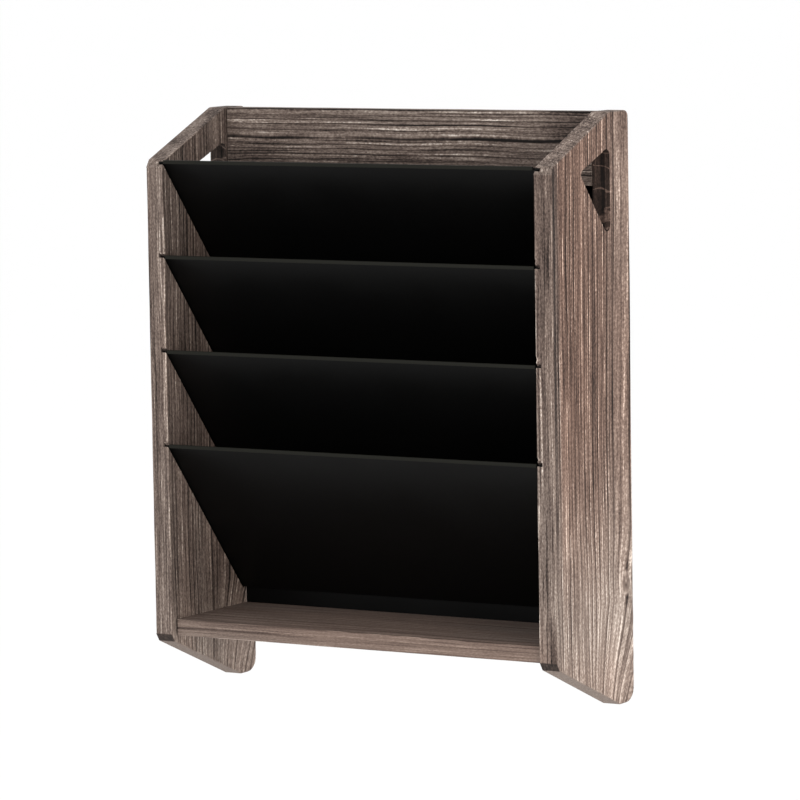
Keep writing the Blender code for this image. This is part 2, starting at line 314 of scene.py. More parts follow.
def carve(piece: bpy.types.Object, tools: list[tuple[Array, list[Array]]]) -> None:
    """Cuts tools out of a piece, one after the other, and keeps the result as its mesh.

    Args:
        piece: a closed piece at the origin.
        tools: vertices and faces of each tool; the solids within one tool must not overlap.
    """
    made = []
    for number, (points, faces) in enumerate(tools):
        tool = link_mesh(f"{piece.name}_tool_{number}", points, faces)
        modifier = piece.modifiers.new(tool.name, "BOOLEAN")
        modifier.operation = "DIFFERENCE"
        modifier.solver = "EXACT"
        modifier.object = tool
        made.append(tool)
    bpy.context.view_layer.update()
    graph = bpy.context.evaluated_depsgraph_get()
    cut_mesh = bpy.data.meshes.new_from_object(piece.evaluated_get(graph))
    piece.modifiers.clear()
    old = piece.data
    piece.data = cut_mesh
    cut_mesh.name = piece.name
    bpy.data.meshes.remove(old)
    for tool in made:
        data = tool.data
        bpy.data.objects.remove(tool)
        bpy.data.meshes.remove(data)


def read_points(piece: bpy.types.Object) -> Array:
    """A piece's vertices, one row each."""
    flat = np.zeros(len(piece.data.vertices) * 3)
    piece.data.vertices.foreach_get("co", flat)
    return flat.reshape(-1, 3)


def write_attribute(piece: bpy.types.Object, name: str, values: Array) -> None:
    """Stores one number or one vector per vertex.

    Args:
        piece: the piece.
        name: the attribute's name.
        values: an array of numbers, or of rows of three.
    """
    vector = values.ndim == 2
    made = piece.data.attributes.new(name, "FLOAT_VECTOR" if vector else "FLOAT", "POINT")
    made.data.foreach_set("vector" if vector else "value", values.astype(np.float32).ravel())


# ---------------------------------------------------------------- finishes


@dataclass(frozen=True)
class TorchedWood:
    """Softwood scorched with a flame and wire-brushed, then wiped with a pale stain.

    The brush digs out the soft early wood, so the dark late wood stands proud in fine lines, pale where it is
    rubbed. The surface is matt and rough. Colour follows the piece's own attributes: grain is the place in
    the wood's own directions, tone the depth of the scorch together with any painted light and shade, late
    the dark lines, pale the rubbed lines, wear_and_edge_highlight the rounded arrises, paler partly from wear
    and partly as a painted highlight where they catch light, and the torn spots, warm the redness and force
    the strength of the fine pattern. With a char tone it is the wall of a cut-out instead: evenly charred,
    with a few torn pale ridges.
    """

    name: str = "torched_brushed_softwood"
    char_tone: float | None = None
    stops: tuple[tuple[float, str], ...] = (
        (0.00, "#15110f"),
        (0.14, "#342c28"),
        (0.32, "#574b45"),
        (0.50, "#776a62"),
        (0.68, "#978a80"),
        (0.84, "#bfb3a9"),
        (1.00, "#ebe3d9"),
    )
    fibre_mm: float = 0.75
    fibre_length_mm: float = 22.0
    streak_mm: float = 2.2
    streak_length_mm: float = 75.0
    speck_mm: float = 0.9
    speck_length_mm: float = 2.0
    line_mm: float = 1.5
    line_length_mm: float = 150.0
    tear_mm: float = 40.0
    tear_length_mm: float = 15.0

    def _noise(
        self, tree: bpy.types.NodeTree, grain: bpy.types.NodeSocket, across: float, along: float, shift: float
    ) -> bpy.types.NodeSocket:
        """Noise with one grain `across` mm wide and `along` mm long in the wood's own directions.

        Args:
            tree: the node tree.
            grain: the grain attribute.
            across: size across the fibres, in mm.
            along: size along the fibres, in mm.
            shift: moves the pattern so that two of them differ.

        Returns:
            The noise's value, about 0.5 on average.
        """
        scale = (1 / (across * MM), 1 / (across * MM), 1 / (along * MM))
        mapped = add(
            tree,
            "ShaderNodeMapping",
            {"=Scale": scale, "=Location": (shift, shift * 1.7, shift * 0.6)},
            {"Vector": grain},
        )
        node = add(
            tree,
            "ShaderNodeTexNoise",
            {"=Scale": 1.0, "=Detail": 2.5, "=Roughness": 0.55},
            {"Vector": mapped.outputs[0]},
        )
        return node.outputs["Fac"]

    def build(self) -> bpy.types.Material:
        """Makes the material.

        Returns:
            The material.
        """
        material, tree, shader = blank_material(self.name)
        grain = add(tree, "ShaderNodeAttribute", {"attribute_name": "grain"}).outputs["Vector"]
        tone, late, pale, wear_and_edge_highlight, warm, force = (
            add(tree, "ShaderNodeAttribute", {"attribute_name": word}).outputs["Fac"]
            for word in ("tone", "late", "pale", "wear_and_edge_highlight", "warm", "force")
        )
        fibre = self._noise(tree, grain, self.fibre_mm, self.fibre_length_mm, 3.0)
        streak = self._noise(tree, grain, self.streak_mm, self.streak_length_mm, 11.0)
        speck = self._noise(tree, grain, self.speck_mm, self.speck_length_mm, 23.0)
        line = self._noise(tree, grain, self.line_mm, self.line_length_mm, 37.0)

        def math_node(
            operation: str, first: object, second: object, third: object = 0.0
        ) -> bpy.types.NodeSocket:
            """One arithmetic step on numbers or sockets."""
            values = {0: first, 1: second, 2: third}
            numbers = {k: v for k, v in values.items() if isinstance(v, (int, float))}
            sockets = {k: v for k, v in values.items() if k not in numbers}
            return add(tree, "ShaderNodeMath", {"operation": operation, **numbers}, sockets).outputs[0]

        def between(value: object, low: float, high: float) -> bpy.types.NodeSocket:
            """Smoothstep of a socket."""
            limits = {"interpolation_type": "SMOOTHSTEP", "=From Min": low, "=From Max": high}
            return add(tree, "ShaderNodeMapRange", limits, {"Value": value}).outputs[0]

        dark_line = math_node("MULTIPLY", between(line, 0.56, 0.66), math_node("ADD", fibre, 0.3))
        pale_line = math_node("MULTIPLY", between(line, 0.43, 0.35), math_node("MULTIPLY", streak, speck))
        swing = math_node("MULTIPLY", math_node("SUBTRACT", fibre, 0.5), 0.50)
        swing = math_node("MULTIPLY_ADD", math_node("SUBTRACT", streak, 0.5), 0.50, swing)
        swing = math_node("MULTIPLY_ADD", math_node("SUBTRACT", speck, 0.5), 0.75, swing)
        swing = math_node("MULTIPLY_ADD", dark_line, -0.34, swing)
        swing = math_node("MULTIPLY_ADD", pale_line, 0.85, swing)
        late_speck = math_node("MULTIPLY", late, math_node("ADD", speck, 0.55))
        pale_speck = math_node("MULTIPLY", pale, math_node("MULTIPLY", fibre, speck))
        swing = math_node("MULTIPLY_ADD", late_speck, -0.42, swing)
        swing = math_node("MULTIPLY_ADD", pale_speck, 1.7, swing)
        if self.char_tone is None:
            level = math_node("MULTIPLY_ADD", swing, force, tone)
            # Rounded arrises painted paler: partly real wear, partly a painted highlight where the edge
            # catches light; torn spots are real.
            level = math_node("MULTIPLY_ADD", wear_and_edge_highlight, 0.28, level)
        else:
            tear = self._noise(tree, grain, self.tear_mm, self.tear_length_mm, 51.0)
            tear = between(math_node("ABSOLUTE", math_node("SUBTRACT", tear, 0.5), 0.0), 0.022, 0.008)
            level = math_node("MULTIPLY_ADD", swing, 0.5, self.char_tone)
            level = math_node("MULTIPLY_ADD", tear, math_node("MULTIPLY", speck, 0.55), level)
        colour = ramp(tree, level, self.stops)
        red = add(
            tree,
            "ShaderNodeMix",
            {"data_type": "RGBA", "blend_type": "MULTIPLY", 7: linear("#ffe4d8")},
            {0: warm, 6: colour},
        ).outputs[2]
        tree.links.new(red, shader.inputs["Base Color"])
        rough = add(
            tree,
            "ShaderNodeMapRange",
            {"=From Min": 0.25, "=From Max": 0.8, "=To Min": 0.92, "=To Max": 0.68},
            {"Value": level},
        ).outputs[0]
        tree.links.new(rough, shader.inputs["Roughness"])
        height = math_node("MULTIPLY_ADD", speck, 0.35, fibre)
        bump = add(
            tree,
            "ShaderNodeBump",
            {"=Strength": 0.55, "=Distance": 0.35 * MM},
            {"Height": height},
        ).outputs[0]
        tree.links.new(bump, shader.inputs["Normal"])
        shader.inputs["Specular IOR Level"].default_value = 0.28
        return material


@dataclass(frozen=True)
class PowderCoat:
    """Satin black powder coat on sheet steel: near black, a faint orange peel, smudges and a painted
    highlight on the folded lip, which faces the light.
    """

    name: str = "satin_black_powder_coat"
    base: str = "#060606"
    fold_highlight: str = "#1a1a16"
    peel_mm: float = 1.3
    smudge_mm: float = 45.0

    def build(self) -> bpy.types.Material:
        """Makes the material.

        Returns:
            The material.
        """
        material, tree, shader = blank_material(self.name)
        place = add(tree, "ShaderNodeTexCoord").outputs["Object"]
        fine = {"=Scale": 1 / (self.peel_mm * MM), "=Detail": 2.0}
        peel = add(tree, "ShaderNodeTexNoise", fine, {"Vector": place}).outputs["Fac"]
        broad = {"=Scale": 1 / (self.smudge_mm * MM), "=Detail": 3.0}
        smudge = add(tree, "ShaderNodeTexNoise", broad, {"Vector": place}).outputs["Fac"]
        rough = add(
            tree,
            "ShaderNodeMapRange",
            {"=From Min": 0.3, "=From Max": 0.7, "=To Min": 0.30, "=To Max": 0.40},
            {"Value": smudge},
        ).outputs[0]
        plain = ramp(tree, peel, ((0.3, self.base), (0.75, "#090909")))
        # Painted highlight: the folded lip is mixed towards a paler grey where it faces the light.
        fold = add(tree, "ShaderNodeAttribute", {"attribute_name": "fold"}).outputs["Fac"]
        colour = add(
            tree, "ShaderNodeMix", {"data_type": "RGBA", 7: linear(self.fold_highlight)}, {0: fold, 6: plain}
        ).outputs[2]
        bump = add(
            tree, "ShaderNodeBump", {"=Strength": 0.12, "=Distance": 0.05 * MM}, {"Height": peel}
        ).outputs[0]
        tree.links.new(colour, shader.inputs["Base Color"])
        tree.links.new(rough, shader.inputs["Roughness"])
        tree.links.new(bump, shader.inputs["Normal"])
        shader.inputs["Specular IOR Level"].default_value = 0.08
        return material


@dataclass(frozen=True)
class PlainMetal:
    """Small steel hardware: zinc plated, which is pale and cloudy, or black oxide, which is dark and oily."""

    name: str
    dark: str
    light: str
    low_rough: float
    high_rough: float
    cloud_mm: float = 2.5

    def build(self) -> bpy.types.Material:
        """Makes the material.

        Returns:
            The material.
        """
        material, tree, shader = blank_material(self.name)
        place = add(tree, "ShaderNodeTexCoord").outputs["Object"]
        cloudy = {"=Scale": 1 / (self.cloud_mm * MM), "=Detail": 4.0}
        cloud = add(tree, "ShaderNodeTexNoise", cloudy, {"Vector": place}).outputs["Fac"]
        colour = ramp(tree, cloud, ((0.3, self.dark), (0.7, self.light)))
        rough = add(
            tree,
            "ShaderNodeMapRange",
            {"=From Min": 0.3, "=From Max": 0.7, "=To Min": self.low_rough, "=To Max": self.high_rough},
            {"Value": cloud},
        ).outputs[0]
        bump = add(
            tree, "ShaderNodeBump", {"=Strength": 0.2, "=Distance": 0.03 * MM}, {"Height": cloud}
        ).outputs[0]
        tree.links.new(colour, shader.inputs["Base Color"])
        tree.links.new(rough, shader.inputs["Roughness"])
        tree.links.new(bump, shader.inputs["Normal"])
        shader.inputs["Metallic"].default_value = 1.0
        return material


@dataclass(frozen=True)
class TurnedBeech:
    """Beech dowel: pale pinkish brown with short darker flecks along the grain, which runs along X."""

    name: str = "turned_beech"
    fleck_mm: float = 0.6
    fleck_length_mm: float = 5.0

    def build(self) -> bpy.types.Material:
        """Makes the material.

        Returns:
            The material.
        """
        material, tree, shader = blank_material(self.name)
        place = add(tree, "ShaderNodeTexCoord").outputs["Object"]
        scale = (1 / (self.fleck_length_mm * MM), 1 / (self.fleck_mm * MM), 1 / (self.fleck_mm * MM))
        mapped = add(tree, "ShaderNodeMapping", {"=Scale": scale}, {"Vector": place}).outputs[0]
        plain = {"=Scale": 1.0, "=Detail": 2.0}
        fleck = add(tree, "ShaderNodeTexNoise", plain, {"Vector": mapped}).outputs["Fac"]
        tree.links.new(ramp(tree, fleck, ((0.35, "#9c7350"), (0.65, "#c49a72"))), shader.inputs["Base Color"])
        bump = add(
            tree, "ShaderNodeBump", {"=Strength": 0.3, "=Distance": 0.05 * MM}, {"Height": fleck}
        ).outputs[0]
        tree.links.new(bump, shader.inputs["Normal"])
        shader.inputs["Roughness"].default_value = 0.55
        return material


# ---------------------------------------------------------------- wood boards


@dataclass(frozen=True)
class Knot:
    """A knot: its place and half sizes, across and along, and how far the rings bend round it, in metres."""

    v: float
    w: float
    half_v: float
    half_w: float
    push: float
    reach_v: float
    reach_w: float


@dataclass(frozen=True)
class Growth:
    """Where the rings lie in a board, in its own directions.

    The rings are circles round the tree's centre. Past `widen_from` across the board they are `widen_by`
    times wider, and below `lean_below` they lean by `lean` metres a metre.
    """

    centre_u: float
    centre_v: float
    ring: float
    seed: int
    wander: float = 0.0045
    knots: tuple[Knot, ...] = ()
    widen_from: float = 1.0
    widen_by: float = 1.0
    lean_below: float = -1.0
    lean: float = 0.0

    def rings(self, u: Array, v: Array, w: Array) -> Array:
        """Ring number: distance from the tree's centre over the ring width, wandering slowly along the board.

        Args:
            u, v, w: place through the board's thickness, across it and along its grain, in metres.

        Returns:
            A number that rises by one from ring to ring.
        """
        drift = self.wander * noise(u / 0.05, v / 0.09, w / 0.20, self.seed)
        drift = drift + 0.0011 * noise(u / 0.02, v / 0.022, w / 0.055, self.seed + 1)
        for knot in self.knots:
            near = np.exp(-(((v - knot.v) / knot.reach_v) ** 2) - ((w - knot.w) / knot.reach_w) ** 2)
            drift = drift + knot.push * near
        drift = drift + self.lean * np.maximum(self.lean_below - w, 0) * smooth(0.045, 0.10, v)
        place = v + drift
        extra = np.maximum(place - self.widen_from, 0)
        place = place - extra * (1 - 1 / self.widen_by)
        distance = np.hypot(u - self.centre_u, place - self.centre_v)
        count = distance / self.ring
        return count + 0.38 * noise(count * 0.6, 0.0, 0.0, self.seed + 2)


@dataclass
class Timber:
    """A wood board on a grid in its own directions: u through it, v across it, w along its grain."""

    name: str
    node: str
    finish: bpy.types.Material
    growth: Growth
    thickness: float
    outline: Array
    origin: Vector
    directions: tuple[tuple[int, int, int], tuple[int, int, int], tuple[int, int, int]]
    arris: float = 1.0 * MM
    across_step: float = 0.60 * MM
    along_step: float = 3.0 * MM
    least_late: float = 0.25
    late_from: float = 0.64
    pale_force: float = 1.0
    dig: float = 1.0
    redness: float = 0.15
    force: float = 1.0
    charred: bpy.types.Material | None = None
    piece: bpy.types.Object | None = field(default=None, init=False)

    EDGE_STOPS = (0.0, 0.12, 0.30, 0.52, 0.80, 1.15)

    def stops(self, length: float, step: float) -> Array:
        """Grid lines along one side: close together at both rounded ends and a step apart between them.

        Args:
            length: the side's length.
            step: spacing away from the ends.

        Returns:
            Rising positions from zero to the length.
        """
        near = np.array(self.EDGE_STOPS) * self.arris
        count = max(1, round((length - 2 * near[-1]) / step))
        middle = np.linspace(near[-1], length - near[-1], count + 1)[1:-1]
        return np.concatenate([near, middle, (length - near)[::-1]])

    def chains(self, v: Array) -> tuple[Array, Array]:
        """Lower and upper end of the board at each place across it, from its convex outline.

        Args:
            v: places across the board.

        Returns:
            The lower and the upper ends along the grain.
        """
        points = self.outline
        centre = points.mean(axis=0)
        slope_side = points[:, 1] - centre[1]
        lower, upper = points[slope_side < 0], points[slope_side >= 0]
        lower = lower[np.lexsort((lower[:, 1], lower[:, 0]))]
        upper = upper[np.lexsort((upper[:, 1], upper[:, 0]))]
        return np.interp(v, lower[:, 0], lower[:, 1]), np.interp(v, upper[:, 0], upper[:, 1])

    def depth_inside(self, points: Array, radius: float) -> Array:
        """Signed distance to the rounded board: distances to the outline and the faces, blended on arrises.

        Args:
            points: (u, v, w) rows.
            radius: of the arrises.

        Returns:
            Metres, negative inside.
        """
        flat = points[:, 1:]
        best = np.full(len(flat), 1e9)
        inside = np.full(len(flat), -1e9)
        ring = self.outline
        area = np.sum(ring[:, 0] * np.roll(ring[:, 1], -1) - np.roll(ring[:, 0], -1) * ring[:, 1])
        for here, there in zip(ring, np.roll(ring, -1, axis=0)):
            side = there - here
            length = float(np.linalg.norm(side))
            if length < 1e-7:
                continue
            away = flat - here
            t = np.clip(away @ side / length**2, 0, 1)
            best = np.minimum(best, np.hypot(*(away - t[:, None] * side).T))
            normal = np.array([side[1], -side[0]]) / length * np.sign(area)
            inside = np.maximum(inside, away @ normal)
        distance = np.where(inside > 0, best, -best)
        a = distance + radius
        b = np.abs(points[:, 0] - self.thickness / 2) - self.thickness / 2 + radius
        corner = np.hypot(np.maximum(a, 0), np.maximum(b, 0))
        return np.minimum(np.maximum(a, b), 0) + corner - radius

    def normals(self, points: Array, radius: float) -> tuple[Array, Array]:
        """Signed distance and its direction by small steps along each axis.

        Args:
            points: (u, v, w) rows.
            radius: of the arrises.

        Returns:
            The distances and the unit outward directions.
        """
        step = 0.05 * MM
        here = self.depth_inside(points, radius)
        moved = [self.depth_inside(points + step * np.eye(3)[axis], radius) for axis in range(3)]
        slope = np.stack([there - here for there in moved], axis=1)
        length = np.linalg.norm(slope, axis=1, keepdims=True)
        return here, slope / np.maximum(length, 1e-12)

    def grid(self) -> tuple[Array, list[Array]]:
        """The closed grid before its arrises are rounded.

        A tube of quads runs round the cross-section at every station along the grain; station (i) at place v
        lies at bottom(v) + s_i (top(v) - bottom(v)). A grid over the cross-section closes each end.

        Returns:
            Vertices in the board's directions, and faces.
        """
        width = float(np.ptp(self.outline[:, 0]))
        length = float(np.ptp(self.outline[:, 1]))
        us, vs = self.stops(self.thickness, 0.75 * MM), self.stops(width, self.across_step)
        share = self.stops(length, self.along_step) / length
        nu, nv, rows = len(us) - 1, len(vs) - 1, len(share)
        k = np.concatenate(
            [np.zeros(nv, int), np.arange(nu), np.full(nv, nu), np.arange(nu, 0, -1)]
        )
        j = np.concatenate([np.arange(nv), np.full(nu, nv), np.arange(nv, 0, -1), np.zeros(nu, int)])
        bottom, top = self.chains(vs)
        loop = len(k)
        w = bottom[j][None] + share[:, None] * (top - bottom)[j][None]
        tube = np.stack(
            [np.broadcast_to(us[k], w.shape), np.broadcast_to(vs[j], w.shape), w], axis=-1
        ).reshape(-1, 3)
        i, c = np.meshgrid(np.arange(rows - 1), np.arange(loop), indexing="ij")
        n = (c + 1) % loop
        here, above = i * loop, (i + 1) * loop
        faces = [np.stack([here + c, here + n, above + n, above + c], -1).reshape(-1, 4)]
        points = [tube]
        start = len(tube)
        for row, ends in ((0, bottom), (rows - 1, top)):
            index = np.zeros((nu + 1, nv + 1), int)
            index[k, j] = row * loop + np.arange(loop)
            inner_k, inner_j = np.meshgrid(np.arange(1, nu), np.arange(1, nv), indexing="ij")
            index[1:nu, 1:nv] = start + np.arange(inner_k.size).reshape(inner_k.shape)
            start += inner_k.size
            points.append(np.column_stack([us[inner_k.ravel()], vs[inner_j.ravel()], ends[inner_j.ravel()]]))
            faces.append(
                np.stack([index[:-1, :-1], index[1:, :-1], index[1:, 1:], index[:-1, 1:]], -1).reshape(-1, 4)
            )
        return np.concatenate(points), faces

    def late_wood(self, points: Array) -> tuple[Array, Array]:
        """Dark lines and the pale lines beside them.

        A dark line rises slowly over the last third of a ring and drops at its end; its strength is random
        from ring to ring. A pale line follows the drop and comes and goes along the board.

        Args:
            points: (u, v, w) rows.

        Returns:
            The dark lines and the pale lines, from 0 to 1.
        """
        u, v, w = points.T
        seed = self.growth.seed
        rings = self.growth.rings(u, v, w)
        whole = np.floor(rings)
        part = rings - whole
        cells = np.column_stack([whole, np.zeros_like(whole), np.zeros_like(whole)])
        least = self.least_late
        strength = least + (1 - least) * lattice(cells, seed + 5) ** 1.4
        dark = smooth(self.late_from, 0.90, part) * (1 - smooth(0.93, 1.0, part)) * strength
        rub = lattice(cells, seed + 6)
        runs = smooth(-0.15, 0.45, noise(whole * 3.7, w / 0.045, v / 0.05, seed + 7) + (rub - 0.5))
        wide = smooth(self.growth.widen_from, self.growth.widen_from + 10 * MM, v)
        pale = np.minimum(smooth(0.0, 0.03, part), 1 - smooth(0.09 - 0.03 * wide, 0.22 - 0.10 * wide, part))
        pale = pale * runs * (1 - 0.75 * wide) * self.pale_force
        return dark, pale

    def torn(self, points: Array) -> Array:
        """Torn spots, from 0 to 1; none on a plain board."""
        return np.zeros(len(points))

    def knot_shade(self, points: Array) -> tuple[Array, Array]:
        """How far inside a knot each point is, from 0 to 1, and how much paler or darker the knot makes it.

        A knot has a pale rim, fine rings inside it, a dark heart with a pale speck beside its middle, and a
        dark tail above and below where the grain closes round it.
        """
        total, shade = np.zeros(len(points)), np.zeros(len(points))
        for knot in self.growth.knots:
            a, b = (points[:, 1] - knot.v) / knot.half_v, (points[:, 2] - knot.w) / knot.half_w
            radius = np.hypot(a, b)
            inside = 1 - smooth(0.85, 1.05, radius)
            total = np.maximum(total, inside)
            rings = -0.17 + 0.04 * np.cos(14 * radius)
            heart = 0.30 * bell(radius, 0, 0.30) - 0.80 * bell(np.hypot(a, b - 0.10), 0, 0.14)
            tail = bell(a - 0.25, 0, 0.50) * smooth(0.9, 1.15, radius) * (1 - smooth(1.2, 2.6, np.abs(b)))
            shade = shade + inside * rings - heart + 0.20 * bell(radius, 0.95, 0.14) - 0.34 * tail
        return total, shade

    def relief(self, points: Array) -> Array:
        """Height of the brushed surface: early wood is dug out, late wood stays, torn spots are deeper.

        Args:
            points: (u, v, w) rows.

        Returns:
            Metres, never above zero.
        """
        u, v, w = points.T
        seed = self.growth.seed
        dark, pale = self.late_wood(points)
        fine = noise(self.growth.rings(u, v, w) * 5, u / 0.0012, w / 0.018, seed + 8)
        slow = noise(u / 0.02, v / 0.025, w / 0.06, seed + 9)
        dug = 0.24 * MM * (1 - np.maximum(dark, 0.8 * pale)) + 0.07 * MM * (1 + fine) + 0.08 * MM * (1 + slow)
        knot, _ = self.knot_shade(points)
        _, normal = self.normals(points, self.arris)
        calm = 1 - 0.9 * smooth(0.10, 0.40, np.abs(normal[:, 2]))
        return -self.dig * dug * (1 - 0.7 * knot) * calm - 0.8 * MM * self.torn(points)

    def tone(self, points: Array, normal: Array) -> Array:
        """Depth of the scorch, with any painted light and shade, before the fine pattern, from 0, black, to
        1, pale.
        """
        return np.full(len(points), 0.5)

    def warmth(self, points: Array) -> Array:
        """Redness from 0 to 1: patches that follow the grain."""
        u, v, w = points.T
        patches = smooth(-0.6, 0.7, noise(u / 0.02, v / 0.02, w / 0.12, self.growth.seed + 12))
        return self.redness * (0.4 + 1.2 * patches)

    def to_row(self, points: Array) -> Array:
        """Turns (u, v, w) into the row's frame."""
        return points @ np.array(self.directions, float) + np.array(self.origin)

    def from_row(self, points: Array) -> Array:
        """Turns the row's frame into (u, v, w)."""
        return (points - np.array(self.origin)) @ np.array(self.directions, float).T

    def tools(self) -> list[tuple[Array, list[Array]]]:
        """Solids cut out of the board; none on a plain board."""
        return []

    def paint(self) -> None:
        """Writes the attributes that the wood finish reads."""
        points = self.from_row(read_points(self.piece))
        u, v, w = points.T
        rings = self.growth.rings(u, v, w)
        dark, pale = self.late_wood(points)
        _, normal = self.normals(points, self.arris)
        rounded = smooth(1.05, 1.30, np.abs(normal[:, 0]) + np.hypot(normal[:, 1], normal[:, 2]))
        rub = smooth(-0.3, 0.6, noise(u / 0.004, v / 0.006, w / 0.016, self.growth.seed + 15))
        knot, shade = self.knot_shade(points)
        write_attribute(self.piece, "grain", np.column_stack([rings * self.growth.ring, u, w]))
        write_attribute(self.piece, "tone", self.tone(points, normal) + shade)
        plain = (1 - knot) * self.line_force(points, normal)
        write_attribute(self.piece, "late", dark * plain)
        write_attribute(self.piece, "pale", pale * plain)
        # Paler rounded arrises: partly wear, partly a painted highlight where the rounding catches light;
        # torn spots are real wear.
        wear_and_edge_highlight = rounded * rub * (1 - 0.75 * smooth(0.10, 0.35, np.abs(normal[:, 2])))
        write_attribute(self.piece, "wear_and_edge_highlight", np.clip(wear_and_edge_highlight + 1.6 * self.torn(points), 0, 2))
        write_attribute(self.piece, "warm", self.warmth(points) * (1 - 0.8 * self.sawn(normal)))
        write_attribute(self.piece, "force", self.pattern_force(points, normal) * (1 - 0.6 * knot))

    def line_force(self, points: Array, normal: Array) -> Array:
        """How strongly the rings show: weaker on the sawn ends."""
        return 1 - 0.55 * self.sawn(normal)

    def pattern_force(self, points: Array, normal: Array) -> Array:
        """How strongly the fine pattern shows: less on the sawn ends, least on the lower ones."""
        return self.force * (1 - self.sawn(normal) * (0.15 + 0.55 * smooth(-0.1, -0.2, points[:, 2])))

    def sawn(self, normal: Array) -> Array:
        """How far a point is on a sawn end rather than along the grain, from 0 to 1."""
        return smooth(0.30, 0.45, np.abs(normal[:, 2]))

    def char_walls(self) -> None:
        """Gives the charred finish to the tools' faces: the deep ones and those square to the surface."""
        polygons = self.piece.data.polygons
        centres, facing = np.zeros(len(polygons) * 3), np.zeros(len(polygons) * 3)
        polygons.foreach_get("center", centres)
        polygons.foreach_get("normal", facing)
        depth, normal = self.normals(self.from_row(centres.reshape(-1, 3)), self.arris)
        outward = normal @ np.array(self.directions, float)
        square = np.sum(outward * facing.reshape(-1, 3), axis=1) < 0.35
        polygons.foreach_set("material_index", ((depth < -1.5 * MM) | square).astype(np.int32))

    def make(self) -> bpy.types.Object:
        """Builds, cuts and dresses the board.

        Returns:
            The finished piece.
        """
        points, faces = self.grid()
        for _ in range(3):
            depth, direction = self.normals(points, self.arris)
            points = points - depth[:, None] * direction
        _, direction = self.normals(points, 4 * self.arris)
        points = points + direction * self.relief(points)[:, None]
        self.piece = link_mesh(self.name, self.to_row(points), faces)
        if tools := self.tools():
            carve(self.piece, tools)
        fix_shading(self.piece, 58)
        self.paint()
        self.piece.data.materials.clear()
        self.piece.data.materials.append(self.finish)
        if self.charred:
            self.piece.data.materials.append(self.charred)
            self.char_walls()
        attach(self.piece, "frame")
        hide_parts(self.node)
        LOG.info("%s: %d vertices", self.name, len(self.piece.data.vertices))
        return self.piece


class Side(Enum):
    """The two ends of the rack, by the sign of X."""

    LEFT = -1
    RIGHT = 1


@dataclass(frozen=True)
class Layout:
    """Sizes that several pieces share, as in the CAD part."""

    width: float = 0.336
    depth: float = 0.115
    board: float = 14.5 * MM
    top: float = 0.050
    groove_tan: float = math.tan(math.radians(50))
    groove_angle: float = math.radians(50)
    groove_width: float = 2.4 * MM
    groove_depth: float = 4.5 * MM
    first_drop: float = 35.7 * MM
    pitch: float = 69.1 * MM
    run: float = 98.5 * MM
    count: int = 4
    gap: float = 0.3 * MM
    cut_angle: float = math.radians(22.5)
    top_flat: float = 29 * MM
    front_drop: float = 386 * MM
    lowest_drop: float = 424.5 * MM
    nose_cut: float = 4.2 * MM
    top_radius: float = 6 * MM
    foot_radius: float = 12 * MM
    sharp_radius: float = 1.2 * MM
    handle_back: float = 28.5 * MM
    handle_tip: float = 73.5 * MM
    handle_drops: tuple[float, float, float] = (24 * MM, 93 * MM, 41 * MM)
    handle_radius: float = 5 * MM
    handle_tip_radius: float = 3.5 * MM
    rail_front: float = 28 * MM
    rail_height: float = 53.3 * MM
    shelf_setback: float = 5.5 * MM
    shelf_depth: float = 96 * MM
    shelf_drop: float = 371 * MM
    shelf_thick: float = 12 * MM

    @property
    def inner(self) -> float:
        """From the middle to a board's inner face."""
        return self.width / 2 - self.board

    @property
    def front(self) -> float:
        """Y of the boards' front edges."""
        return -self.depth

    def wall(self, index: int) -> float:
        """Height of a groove's lower wall at the front edge."""
        return self.top - self.first_drop - index * self.pitch

    def in_groove(self, index: int, run: float, offset: float) -> tuple[float, float]:
        """(y, z) of a point `run` behind the front edge and `offset` square to the groove's lower wall."""
        z = self.wall(index) - run * self.groove_tan
        return (
            self.front + run + offset * math.sin(self.groove_angle),
            z + offset * math.cos(self.groove_angle),
        )


